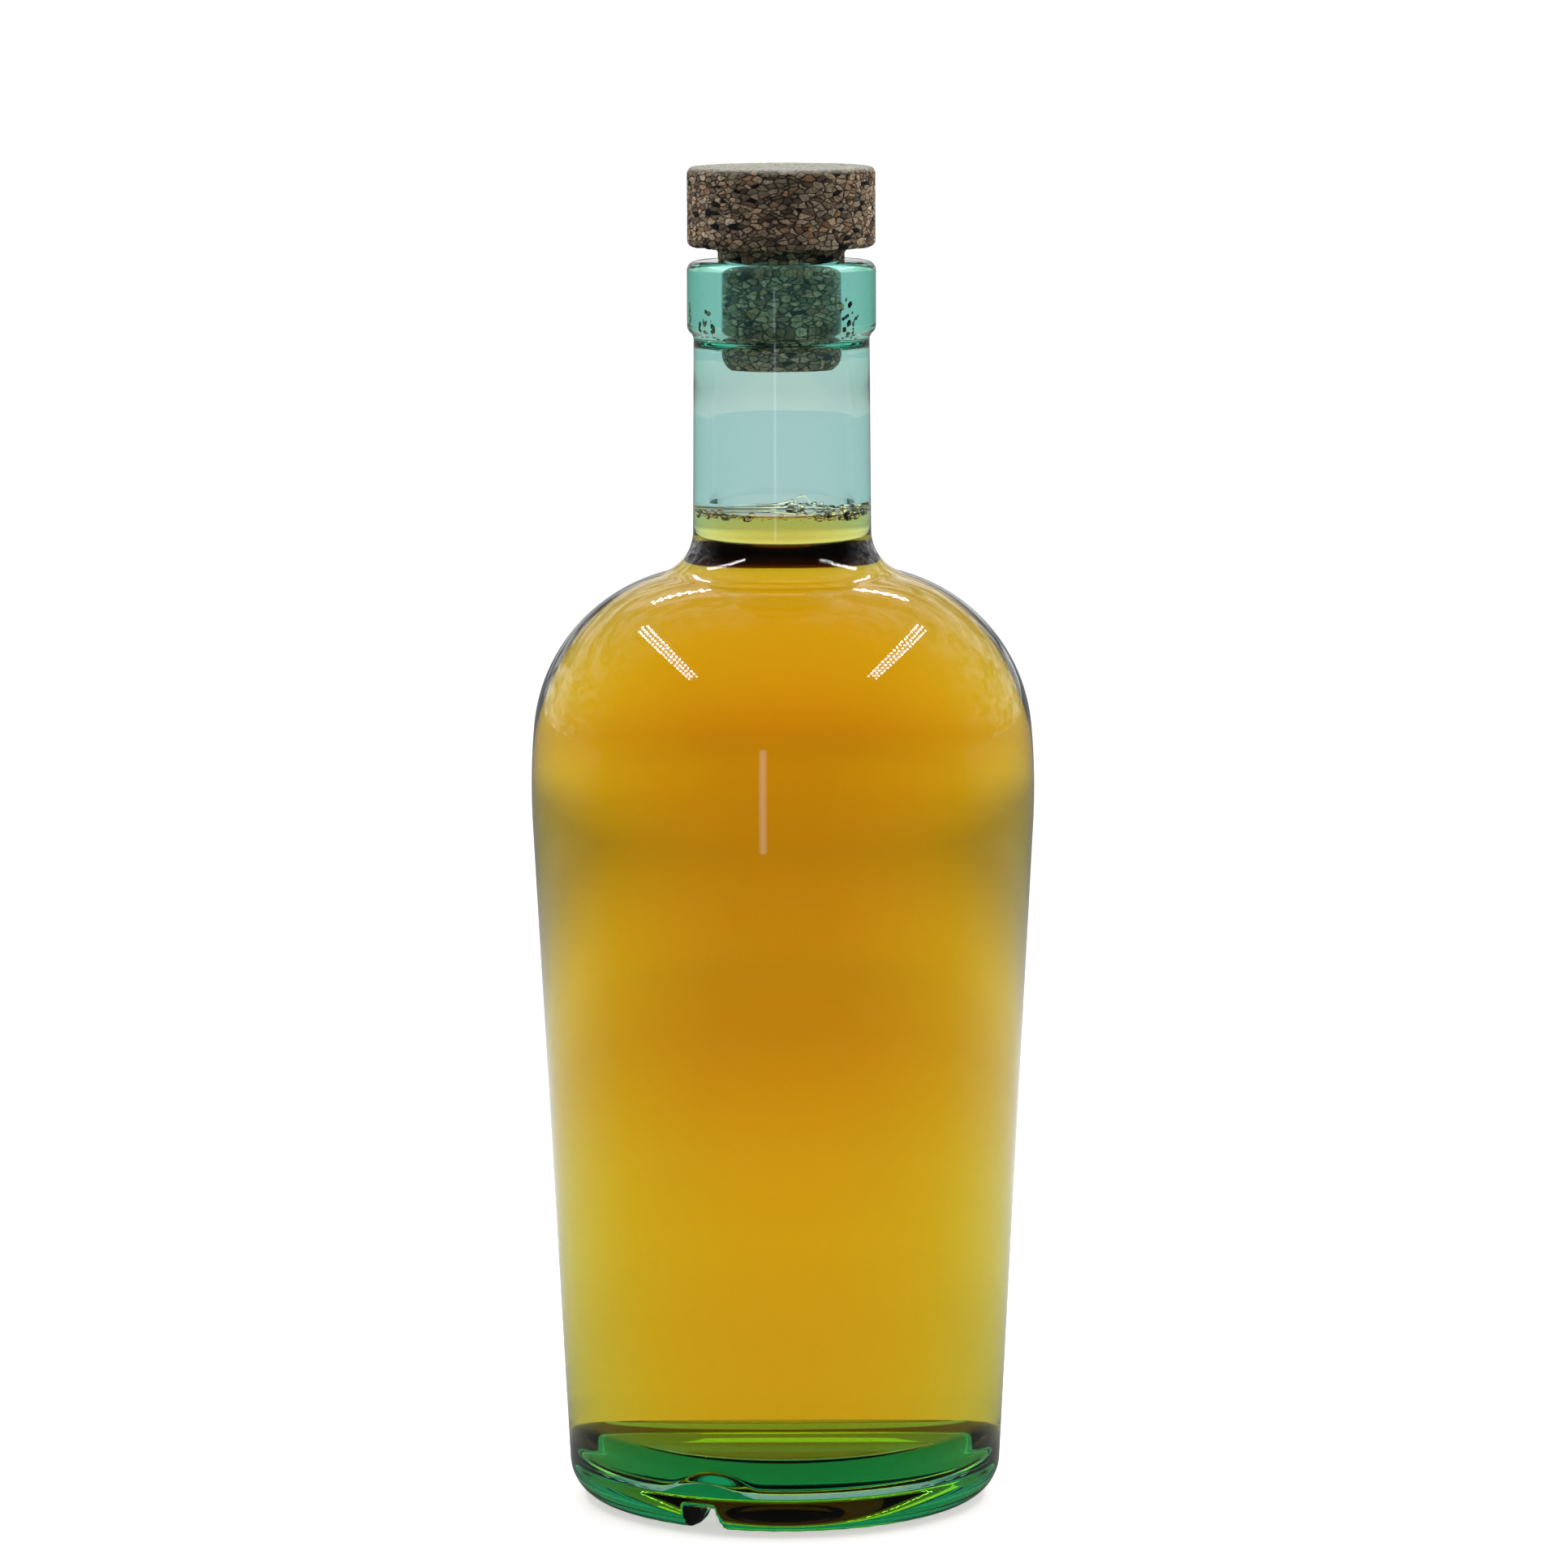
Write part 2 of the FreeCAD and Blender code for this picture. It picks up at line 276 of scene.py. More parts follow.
def notch_cut(x, y, z):
    """The notch lifts the underside of the heel. Its roof falls from the heel's side to the bearing ring
    and runs on under it into the push-up."""
    along, across = beside_notch(x, y)
    above_it = 2 * MM
    too_low = 0.02 * MM
    if along < 0 or abs(across) > notch_width or z > notch_height + above_it:
        return z
    ring = heel_centre_radius - bearing_width / 2
    reach = max(0.0, (along - ring) / (heel_centre_radius + heel_radius - ring))
    roof = notch_inner_height + (notch_height - notch_inner_height) * reach
    half = notch_width / 2 * (notch_inner_share + (1 - notch_inner_share) * reach)
    wall = 1 - smooth_step(half - notch_edge * 0.9, half + notch_edge * 0.7, abs(across))
    start = smooth_step(notch_inner_end, notch_inner_end + notch_inner_slope, along)
    lift = roof * wall * start
    return smooth_max(z, lift, notch_round) if lift > too_low else z


def swell_lift(x, y, z):
    """Over the notch the inside of the base swells up in a smooth hump."""
    along, across = beside_notch(x, y)
    peak = heel_centre_radius - swell_inset
    distance = math.hypot(across / swell_spread, (along - peak) / (swell_spread * swell_squeeze))
    if along < 0 or distance > swell_reach:
        return z
    hump = base_thickness + swell_height * (1 - distance ** 2 * swell_fall)
    return smooth_max(z, hump, swell_round)


def blown(x, y, z, share=1.0):
    """Where a point of the inside lies with the slight waves that blowing leaves. Near the axis they fade."""
    wave = noise.noise(Vector((x * wave_across, y * wave_across, z * wave_up)))
    ripple = noise.noise(Vector((x * ripple_across + ripple_shift, y * ripple_across, z * ripple_up)))
    off = wave_depth * (wave + ripple_share * ripple) * share
    scale = 1 + off / max(math.hypot(x, y), calm_radius)
    return x * scale, y * scale


# Directions of the columns of points, closer together at the notch.
fine_half = math.radians(9.5)
fine_step = math.radians(0.42)
coarse_step = math.radians(1.8)
coarse_turn = 2 * math.pi - 2 * fine_half
fine_count = round(2 * fine_half / fine_step)
coarse_count = round(coarse_turn / coarse_step)
bottle_columns = [notch_azimuth - fine_half + 2 * fine_half * i / fine_count for i in range(fine_count)]
bottle_columns += [notch_azimuth + fine_half + coarse_turn * i / coarse_count for i in range(coarse_count)]


def turned_mesh(name, profile, shape, material, wetted=None, columns=bottle_columns):
    """Turns a profile about the axis. shape(x, y, z, row) may move each point. Ends on the axis are
    closed. wetted(row) is 1 where the band of faces that starts at a row lies between glass and drink."""
    crease = math.radians(50)
    points, faces, rings, finishes = [], [], [], []
    for row, (r, z) in enumerate(profile):
        if r < on_axis:
            rings.append([len(points)])
            points.append(shape(0.0, 0.0, z, row))
            continue
        rings.append(list(range(len(points), len(points) + len(columns))))
        points += [shape(r * math.cos(a), r * math.sin(a), z, row) for a in columns]
    for row, (low, high) in enumerate(zip(rings, rings[1:])):
        for i in range(len(columns)):
            j = (i + 1) % len(columns)
            corners = [low[i % len(low)], low[j % len(low)], high[j % len(high)], high[i % len(high)]]
            faces.append(list(dict.fromkeys(corners)))
            finishes.append(float(wetted(row)) if wetted else 0.0)
    mesh = bpy.data.meshes.new(name)
    mesh.from_pydata(points, [], faces)
    mesh.attributes.new("wetted", "FLOAT", "FACE").data.foreach_set("value", finishes)
    work = bmesh.new()
    work.from_mesh(mesh)
    bmesh.ops.remove_doubles(work, verts=work.verts, dist=on_axis)
    bmesh.ops.recalc_face_normals(work, faces=work.faces)
    work.to_mesh(mesh)
    work.free()
    mesh.shade_smooth()
    mesh.set_sharp_from_angle(angle=crease)
    mesh.materials.append(material)
    piece = bpy.data.objects.new(name, mesh)
    bpy.context.collection.objects.link(piece)
    return piece


outer_line = outer_profile()
inner_line = inner_profile()


def stippled(x, y, z):
    """Shallow dents across the bearing ring, so that the bottle stands on small lands and slides well."""
    r = math.hypot(x, y)
    middle = heel_centre_radius - bearing_width / 2
    window = math.exp(-((r - middle) / (stipple_spread * bearing_width)) ** 2)
    return z + stipple_depth * window * (0.5 - 0.5 * math.cos(stipple_count * math.atan2(y, x)))


def shaped_glass(x, y, z, row):
    """Outside, the ring's dents and the notch. Inside, the waves, which end under the bore, and the swell."""
    if row < len(outer_line):
        foot = 2 * MM
        return (x, y, notch_cut(x, y, stippled(x, y, z) if z < foot else z))
    below_bore = 1 - smooth_step(bore_end_height - 4 * MM, bore_end_height + 1 * MM, z)
    return (*blown(x, y, z, below_bore), swell_lift(x, y, z))


class Value:
    """A shader socket that takes part in Python sums. Each sum adds its Math nodes to the material."""

    def __init__(self, sheet, socket):
        self.sheet, self.socket = sheet, socket

    def maths(self, operation, *others):
        return self.sheet.node("ShaderNodeMath", {"operation": operation}, [self, *others])

    def __add__(self, other):
        return self.maths("ADD", other)

    def __sub__(self, other):
        return self.maths("SUBTRACT", other)

    def __mul__(self, other):
        return self.maths("MULTIPLY", other)

    def __rsub__(self, other):
        return self.sheet.node("ShaderNodeMath", {"operation": "SUBTRACT"}, [other, self])

    __radd__, __rmul__ = __add__, __mul__


class Sheet:
    """A material's node sheet."""

    def __init__(self, name):
        self.material = bpy.data.materials.new(name)
        self.material.use_nodes = True
        self.tree = self.material.node_tree
        self.tree.nodes.clear()

    def node(self, kind, settings=None, inputs=(), out=0):
        """Adds a node. inputs is a list in the sockets' order or a dictionary by name."""
        made = self.tree.nodes.new(kind)
        for key, value in (settings or {}).items():
            if key == "stops":
                ramp = made.color_ramp
                while len(ramp.elements) < len(value):
                    ramp.elements.new(0.5)
                for element, (place, colour) in zip(ramp.elements, value):
                    element.position, element.color = place, (*colour, 1)
            else:
                setattr(made, key, value)
        pairs = inputs.items() if isinstance(inputs, dict) else enumerate(inputs)
        for key, value in pairs:
            if isinstance(value, Value):
                self.tree.links.new(value.socket, made.inputs[key])
            else:
                made.inputs[key].default_value = value
        return Value(self, made.outputs[out]) if made.outputs else made

    def mixed(self, share, first, second):
        """A colour between two others."""
        colours = {"Factor": share, "A": first, "B": second}
        made = self.tree.nodes.new("ShaderNodeMix")
        made.data_type = "RGBA"
        for socket in made.inputs:
            if socket.enabled and socket.name in colours:
                value = colours[socket.name]
                if isinstance(value, Value):
                    self.tree.links.new(value.socket, socket)
                else:
                    socket.default_value = (*value, 1) if isinstance(value, tuple) else value
        return Value(self, next(o for o in made.outputs if o.enabled))

    def ramp(self, value, low, high, at_low=0.0, at_high=1.0):
        """Runs from one amount to another while the value goes from low to high, and holds past them."""
        return self.node("ShaderNodeMapRange", {}, {
            "Value": value, "From Min": low, "From Max": high, "To Min": at_low, "To Max": at_high}, "Result")


def clear_material(name, dry_ior, wet_ior, absorbed, density):
    """Clear stuff that bends light by one amount against air and by another where glass and drink meet."""
    sheet = Sheet(name)
    dry, wet = [
        sheet.node("ShaderNodeBsdfPrincipled", {}, {
            "Base Color": (1, 1, 1, 1), "Roughness": 0.0, "IOR": ior, "Transmission Weight": 1.0})
        for ior in (dry_ior, wet_ior)
    ]
    where = sheet.node("ShaderNodeAttribute", {"attribute_name": "wetted"}, [], "Fac")
    surface = sheet.node("ShaderNodeMixShader", {}, [where, dry, wet])
    inside = sheet.node("ShaderNodeVolumeAbsorption", {}, {"Color": (*absorbed, 1), "Density": density})
    sheet.node("ShaderNodeOutputMaterial", {}, {"Surface": surface, "Volume": inside})
    return sheet.material


glass_ior = 1.52
drink_ior = 1.36
glass_tint = (0.275, 0.817, 0.69)
glass_density = 100
glass = clear_material("aqua_glass", glass_ior, glass_ior / drink_ior, glass_tint, glass_density)
glass_line = outer_line + inner_line[::-1]
creep_height = 0.5 * MM
wetted_height = fill_height + creep_height * 0.9


def glass_wetted(row):
    low = min(glass_line[row][1], glass_line[row + 1][1])
    return int(row >= len(outer_line) and low < wetted_height)


bottle = turned_mesh("bottle_glass", glass_line, shaped_glass, glass, glass_wetted)
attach(bottle, "root")
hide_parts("bottle")


# ---------------------------------------------------------------------------------------------
# The drink. An amber spirit that fills the bottle to a little below the middle of the neck and
# creeps up the glass at its edge. It reaches a hair's breadth into the wall.
# ---------------------------------------------------------------------------------------------
into_wall = 0.12 * MM
creep_length = 0.9 * MM
below_edge = 1 * MM
surface_rows = 14
spirit_tint = (0.98, 0.805, 0.06)
spirit_density = 78


def drink_profile():
    """Up the inside of the glass, a little into the wall, and over the surface to its middle."""
    wet = [p for p in inner_line if p[1] < fill_height - below_edge]
    line = []
    for i, (r, z) in enumerate(wet):
        before, after = wet[max(i - 1, 0)], wet[min(i + 1, len(wet) - 1)]
        dr, dz = after[0] - before[0], after[1] - before[1]
        size = math.hypot(dr, dz)
        line.append((max(0.0, r + into_wall * dz / size) if i else 0.0, z - into_wall * dr / size))
    edge = neck_radius(fill_height) - shoulder_wall + into_wall
    top = [edge * (1 - (i / surface_rows) ** 2) for i in range(surface_rows + 1)]
    return line + [(r, fill_height + creep_height * math.exp((r - edge) / creep_length)) for r in top]


drink_line = drink_profile()
surface_start = len(drink_line) - (surface_rows + 1)


def shaped_drink(x, y, z, row):
    """The sides follow the waves and the swell of the glass. The surface stays level."""
    if row > surface_start:
        return (x, y, z)
    return (*blown(x, y, z), swell_lift(x, y, z))


spirit = clear_material("amber_spirit", drink_ior, 1.0, spirit_tint, spirit_density)
drink = turned_mesh("amber_drink", drink_line, shaped_drink, spirit, lambda row: row < surface_start)
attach(drink, "root")
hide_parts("drink")


# ---------------------------------------------------------------------------------------------
# The edge of the drink in the neck. Small bubbles cling to the glass on both sides, and a thin wavy
# line of spirit has climbed the back of the neck, with one larger bubble on it.
# ---------------------------------------------------------------------------------------------
class GrowthSheet(Sheet):
    """The node sheet of a Geometry Nodes tree, with named inputs."""

    def __init__(self, name, inputs):
        self.tree = bpy.data.node_groups.new(name, "GeometryNodeTree")
        sides = self.tree.interface
        sides.new_socket("Geometry", in_out="INPUT", socket_type="NodeSocketGeometry")
        sides.new_socket("Geometry", in_out="OUTPUT", socket_type="NodeSocketGeometry")
        self.inputs = {
            label: sides.new_socket(label, in_out="INPUT", socket_type="NodeSocket" + kind).identifier
            for label, kind in inputs.items()
        }


foam_inputs = {
    "Count": "Int", "Spread": "Vector", "Smallest": "Float", "Largest": "Float", "Seed": "Int",
    "Material": "Material",
}
foam = GrowthSheet("bubbles_along_edge", foam_inputs)
given = {label: foam.node("NodeGroupInput", {}, [], label) for label in ("Geometry", *foam_inputs)}
path = foam.node("GeometryNodeMeshToCurve", {}, [given["Geometry"]])
spots = foam.node("GeometryNodeCurveToPoints", {"mode": "COUNT"}, {"Curve": path, "Count": given["Count"]})
back = foam.node("ShaderNodeVectorMath", {"operation": "SCALE"}, {0: given["Spread"], "Scale": -1.0})
stray = foam.node("FunctionNodeRandomValue", {"data_type": "FLOAT_VECTOR"}, {
    0: back, 1: given["Spread"], 8: given["Seed"]})
strewn = foam.node("GeometryNodeSetPosition", {}, {"Geometry": spots, "Offset": stray})
chance = foam.node("FunctionNodeRandomValue", {"data_type": "FLOAT"}, {2: 0.0, 3: 1.0, 8: given["Seed"]}, 1)
rare = chance * chance * chance
bubble_size = given["Smallest"] + rare * (given["Largest"] - given["Smallest"])
ball = foam.node("GeometryNodeMeshIcoSphere", {}, {"Radius": 1.0, "Subdivisions": 2})
placed = foam.node("GeometryNodeInstanceOnPoints", {}, {
    "Points": strewn, "Instance": ball, "Scale": bubble_size})
solid = foam.node("GeometryNodeRealizeInstances", {}, [placed])
rounded = foam.node("GeometryNodeSetShadeSmooth", {}, [solid])
coated = foam.node("GeometryNodeSetMaterial", {}, {"Geometry": rounded, "Material": given["Material"]})
foam.node("NodeGroupOutput", {}, [coated])

neck_inner_radius = neck_radius(fill_height) - shoulder_wall
edge_height = fill_height + 0.25 * MM
edge_inset = 0.35 * MM
edge_runs = 12
bubble_spread = (0.45 * MM, 0.45 * MM, 0.55 * MM)
film_inset = 0.05 * MM


def bubbles_along(name, start, end, count, smallest, largest, seed):
    """Bubbles between two directions, in degrees from straight ahead, positive to the right."""
    turns = [math.radians(-90 + start + (end - start) * i / edge_runs) for i in range(edge_runs + 1)]
    edge = neck_inner_radius - edge_inset
    line = bpy.data.meshes.new(name)
    places = [(edge * math.cos(a), edge * math.sin(a), edge_height) for a in turns]
    line.from_pydata(places, [(i, i + 1) for i in range(edge_runs)], [])
    source = bpy.data.objects.new(name + "_source", line)
    bpy.context.collection.objects.link(source)
    grow = source.modifiers.new("bubbles", "NODES")
    grow.node_group = foam.tree
    values = {
        "Count": count, "Spread": bubble_spread, "Smallest": smallest, "Largest": largest, "Seed": seed,
        "Material": spirit,
    }
    for label, value in values.items():
        grow[foam.inputs[label]] = value
    shown = source.evaluated_get(bpy.context.evaluated_depsgraph_get())
    piece = bpy.data.objects.new(name, bpy.data.meshes.new_from_object(shown))
    bpy.data.objects.remove(source)
    bpy.context.collection.objects.link(piece)
    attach(piece, "root")


bubbles_along("bubbles_left", -84, -24, 110, 0.10 * MM, 0.75 * MM, 4)
bubbles_along("bubbles_right", 26, 84, 100, 0.10 * MM, 0.75 * MM, 9)
bubbles_along("bubbles_front", -20, 24, 34, 0.07 * MM, 0.42 * MM, 6)
bubbles_along("bubbles_back", 142, 176, 40, 0.10 * MM, 0.62 * MM, 2)


def thread(name, points, thickness):
    """A fine round thread through the points, closed at both ends."""
    around = 8
    taper = 0.8
    places, faces = [], []
    for i, here in enumerate(points):
        following = Vector(points[min(i + 1, len(points) - 1)])
        previous = Vector(points[max(i - 1, 0)])
        out = Vector((here[0], here[1], 0)).normalized()
        up = (following - previous).normalized().cross(out)
        ease = math.sin(math.pi * (i + 0.5) / len(points)) ** taper
        for j in range(around):
            a = 2 * math.pi * j / around
            places.append(Vector(here) + (out * math.cos(a) + up * math.sin(a)) * thickness * ease)
    for i in range(len(points) - 1):
        for j in range(around):
            k = (j + 1) % around
            faces.append([i * around + j, i * around + k, (i + 1) * around + k, (i + 1) * around + j])
    faces.append(list(range(around)))
    faces.append([(len(points) - 1) * around + j for j in range(around)])
    mesh = bpy.data.meshes.new(name)
    mesh.from_pydata(places, [], faces)
    work = bmesh.new()
    work.from_mesh(mesh)
    bmesh.ops.recalc_face_normals(work, faces=work.faces)
    work.to_mesh(mesh)
    work.free()
    mesh.shade_smooth()
    mesh.materials.append(spirit)
    piece = bpy.data.objects.new(name, mesh)
    bpy.context.collection.objects.link(piece)
    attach(piece, "root")


film_edge = neck_inner_radius - film_inset
film_start, film_end = -31, 33
film_runs = 79
film_thickness = 0.19 * MM
peak_at, peak_width, peak_rise = 19, 5.0, 1.25


def climb(degrees):
    """Height of the film above the drink, at a direction in degrees from straight behind."""
    slow = 0.25 * math.sin(math.radians(degrees * 3.1 + 20))
    quick = 0.16 * math.sin(math.radians(degrees * 9.7))
    return (0.55 + slow + quick + peak_rise * math.exp(-((degrees - peak_at) / peak_width) ** 2)) * MM


film = []
for i in range(film_runs + 1):
    degrees = film_start + (film_end - film_start) * i / film_runs
    a = math.radians(90 - degrees)
    film.append((film_edge * math.cos(a), film_edge * math.sin(a), fill_height + climb(degrees)))
thread("film_line", film, film_thickness)

ring_at = math.radians(90 - 16.5)
ring_height = fill_height + 1.15 * MM
ring_radius = 0.8 * MM
ring_thickness = 0.2 * MM
ring_runs = 24
ring = []
for i in range(ring_runs + 1):
    a = 2 * math.pi * i / ring_runs
    turn = ring_at - ring_radius * math.cos(a) / neck_inner_radius
    height = ring_height + ring_radius * math.sin(a)
    ring.append((film_edge * math.cos(turn), film_edge * math.sin(turn), height))
thread("bubble_ring", ring, ring_thickness)


# ---------------------------------------------------------------------------------------------
# The cork. A one-piece stopper turned from agglomerated cork, which is ground bark pressed with a
# binder. The bore squeezes its shank a little, and its head stays clear above the rim.
# ---------------------------------------------------------------------------------------------
cork_low, cork_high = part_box("cork_stopper")
head_radius = (cork_high[0] - cork_low[0]) / 2
head_high = cork_high[2]
head_height = 14.1 * MM
head_low = head_high - head_height
shank_low = cork_low[2]
head_edge = 1.25 * MM
shank_squeeze = 0.6 * MM
shank_hollow = 1.4 * MM
shank_end_drop = 2.7 * MM
shank_end_inset = 1.8 * MM
shank_ease = 0.07 * MM
cork_step = 0.27 * MM
cork_directions = 290

# Depths of the surface in millimetres, and how many grains or crumbs there are to a metre.
grains, grain_flatness = 640, 1.6
seam_width = 0.16
seam_depth, lump_depth, crumb_depth = 0.16, 0.08, 0.34
squeezed_seam_depth, squeezed_lump_depth = 0.03, 0.02
crumbs, crumb_shift = 330, Vector((3, 9, 1))
contacts, contact_flatness, contact_shift = 190, 0.8, Vector((0.4, 2.2, 5.1))
contact_grains = 1100
contact_depth = 0.2
contact_rise = (206.6 * MM, 208.6 * MM)
contact_end = (212.0 * MM, 216.0 * MM)
trim = 0.02 * MM


def cork_profile():
    """From the middle of the shank's end up to the middle of the head."""
    shank_radius = bore_radius - shank_ease
    end_size = (shank_end_inset ** 2 + shank_end_drop ** 2) / (2 * shank_end_inset)
    end = Circle(shank_radius - end_size, shank_low + shank_end_drop, end_size)
    end_turn = math.degrees(math.asin(shank_end_drop / end_size))
    lip = Circle(bore_radius + lip_radius, rim_height - lip_radius, lip_radius + shank_ease)
    squeeze_end = 180 - math.degrees(math.acos(1 - shank_squeeze / lip_radius))
    free_radius = bore_radius + shank_squeeze
    under = Circle(free_radius + shank_hollow, head_low - shank_hollow, shank_hollow)
    edge_low = Circle(head_radius - head_edge, head_low + head_edge, head_edge)
    edge_high = Circle(head_radius - head_edge, head_high - head_edge, head_edge)
    return joined(
        [(0, shank_low)],
        end.arc(-end_turn, 0, cork_step),
        lip.arc(180, squeeze_end, cork_step / 2),
        under.arc(180, 90, cork_step),
        edge_low.arc(-90, 0, cork_step),
        edge_high.arc(0, 90, cork_step),
        [(0, head_high)],
        step=cork_step,
    )


cork_line = cork_profile()


def shaped_cork(x, y, z, row):
    """Grains stand out a little, gaps between them sink in, and crumbs are missing here and there. In the
    bore the grains are pressed flat, and spots of the shank touch the glass."""
    before, after = cork_line[max(row - 1, 0)], cork_line[min(row + 1, len(cork_line) - 1)]
    dr, dz = after[0] - before[0], after[1] - before[1]
    size = math.hypot(dr, dz)
    r = math.hypot(x, y)
    outward = Vector((0, 0, -dr / size))
    if r > 0.3 * MM:
        outward = Vector((x / r * dz / size, y / r * dz / size, -dr / size))
    here = Vector((x, y, z))
    place = Vector((x, y, z * grain_flatness)) * grains
    near, second = noise.voronoi(place)[0][:2]
    seam = 1 - smooth_step(0.0, seam_width, second - near)
    lump = noise.noise(place * 0.5)
    if z < rim_height + 0.2 * MM:
        where = noise.noise(Vector((x, y, z * contact_flatness)) * contacts + contact_shift)
        spot = smooth_step(0.08, 0.3, where) * smooth_step(0.05, 0.3, noise.noise(here * contact_grains))
        band = smooth_step(*contact_rise, z) * (1 - smooth_step(*contact_end, z))
        depth = squeezed_lump_depth * lump - squeezed_seam_depth * seam + contact_depth * band * spot
        return tuple(here + outward * depth * MM)
    crumb = smooth_step(0.42, 0.62, noise.noise(here * crumbs + crumb_shift))
    moved = here + outward * (lump_depth * lump - seam_depth * seam - crumb_depth * crumb) * MM
    inward = min(1.0, (head_radius - trim) / math.hypot(moved.x, moved.y)) if r > 0.3 * MM else 1.0
    return (moved.x * inward, moved.y * inward, min(moved.z, head_high))


cork_columns = [2 * math.pi * i / cork_directions for i in range(cork_directions)]
grain_squash = (1.0, 1.0, 1.8)
grain_shift = (0.0011, 0.0011, 0.0011)
grit_colour = (0.13, 0.10, 0.07)
warm_colour = (0.68, 0.33, 0.14)
grey_colour = (0.40, 0.36, 0.27)
seam_colour = (0.030, 0.021, 0.014)
fleck_colour = (0.010, 0.011, 0.014)
# Paler colour for the top of the head: a painted highlight that stands for the light falling from above.
top_light_colour = (0.48, 0.475, 0.41)
bark_colours = [
    (0.00, (0.110, 0.078, 0.050)), (0.30, (0.300, 0.220, 0.140)), (0.55, (0.520, 0.400, 0.260)),
    (0.75, (0.700, 0.540, 0.360)), (0.90, (0.880, 0.610, 0.380)), (1.00, (0.950, 0.800, 0.600)),
]
cork_sheet = Sheet("agglomerated_cork")
place = cork_sheet.node("ShaderNodeTexCoord", {}, [], "Object")
flattened = cork_sheet.node(
    "ShaderNodeVectorMath", {"operation": "MULTIPLY"}, [place, grain_squash], "Vector")
stir = cork_sheet.node(
    "ShaderNodeTexNoise", {}, {"Vector": flattened, "Scale": 420.0, "Detail": 2.0}, "Color")
shift = cork_sheet.node(
    "ShaderNodeVectorMath", {"operation": "MULTIPLY_ADD"}, [stir, grain_shift, flattened], "Vector")
grain = {"Vector": shift, "Scale": 620.0, "Randomness": 1.0}
tone = cork_sheet.node("ShaderNodeTexVoronoi", {"feature": "F1"}, grain, "Color")
first_tone, second_tone, third_tone = [
    cork_sheet.node("ShaderNodeSeparateColor", {}, [tone], part) for part in ("Red", "Green", "Blue")
]
seam = cork_sheet.node("ShaderNodeTexVoronoi", {"feature": "DISTANCE_TO_EDGE"}, grain, "Distance")
fine_seam = cork_sheet.node(
    "ShaderNodeTexVoronoi", {"feature": "DISTANCE_TO_EDGE"}, {"Vector": shift, "Scale": 1500.0}, "Distance")
speckle = cork_sheet.node("ShaderNodeTexNoise", {}, {"Vector": place, "Scale": 2600.0, "Detail": 4.0}, "Fac")
patch = cork_sheet.node("ShaderNodeTexNoise", {}, {"Vector": place, "Scale": 160.0, "Detail": 2.0}, "Fac")
browns = cork_sheet.node("ShaderNodeValToRGB", {"stops": bark_colours}, [first_tone], "Color")
grit = cork_sheet.ramp(speckle, 0.35, 0.65)
warm = cork_sheet.ramp(third_tone, 0.72, 0.9)
grey = cork_sheet.ramp(third_tone, 0.35, 0.1)
warmed = cork_sheet.mixed(warm * 0.5, browns, warm_colour)
hued = cork_sheet.mixed(grey * 0.45, warmed, grey_colour)
mottled = cork_sheet.mixed(grit * 0.6, hued, grit_colour)
uneven = cork_sheet.node("ShaderNodeTexNoise", {}, {"Vector": place, "Scale": 900.0, "Detail": 1.0}, "Fac")
gap = cork_sheet.ramp(seam + (uneven - 0.5) * 0.22, 0.01, 0.13)
fine_gap = cork_sheet.ramp(fine_seam, 0.0, 0.10, 0.45)
grained = cork_sheet.mixed(gap * fine_gap, seam_colour, mottled)
fleck = cork_sheet.ramp(second_tone, 0.935, 0.95)
flecked = cork_sheet.mixed(fleck, grained, fleck_colour)
height = cork_sheet.node("ShaderNodeSeparateXYZ", {}, [place], "Z")
# The top face and upper edge of the head are painted paler in patches, a painted highlight for the light from
# above.
top_light = cork_sheet.ramp(height, head_high - 0.9 * MM, head_high - 0.1 * MM)
top_lit = cork_sheet.mixed(top_light * (0.72 + patch * 0.3), flecked, top_light_colour)
relief = gap * 0.7 + speckle * 0.35 + third_tone * 0.4
bumped = cork_sheet.node("ShaderNodeBump", {}, {
    "Strength": 0.8, "Distance": 0.35 * MM, "Height": relief}, "Normal")
cork_surface = cork_sheet.node("ShaderNodeBsdfPrincipled", {}, {
    "Base Color": top_lit, "Roughness": 0.85, "Specular IOR Level": 0.25, "Normal": bumped})
cork_sheet.node("ShaderNodeOutputMaterial", {}, {"Surface": cork_surface})

cork = turned_mesh("cork_grained", cork_line, shaped_cork, cork_sheet.material, columns=cork_columns)
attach(cork, "root")
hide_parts("cork_stopper")


# ---------------------------------------------------------------------------------------------
# The studio. Bright cloth with soft folds hangs all round, and is darker behind the camera. The world
# stands for it. It has one strength for rays through glass, one for mirrored rays and one for the rest.
# ---------------------------------------------------------------------------------------------
scene = bpy.context.scene
scene.view_settings.view_transform = "Standard"
world = bpy.data.worlds.new("studio")
scene.world = world
world.use_nodes = True
fold_shape = (2.2, 2.2, 5.0)
least_light = 0.04


class WorldSheet(Sheet):
    """The world's node sheet."""

    def __init__(self, world):
        self.tree = world.node_tree
        self.tree.nodes.clear()


def rays(sheet, *kinds):
    """For each kind of ray a value that is 1 where such a ray arrives."""
    return [sheet.node("ShaderNodeLightPath", {}, [], kind) for kind in kinds]


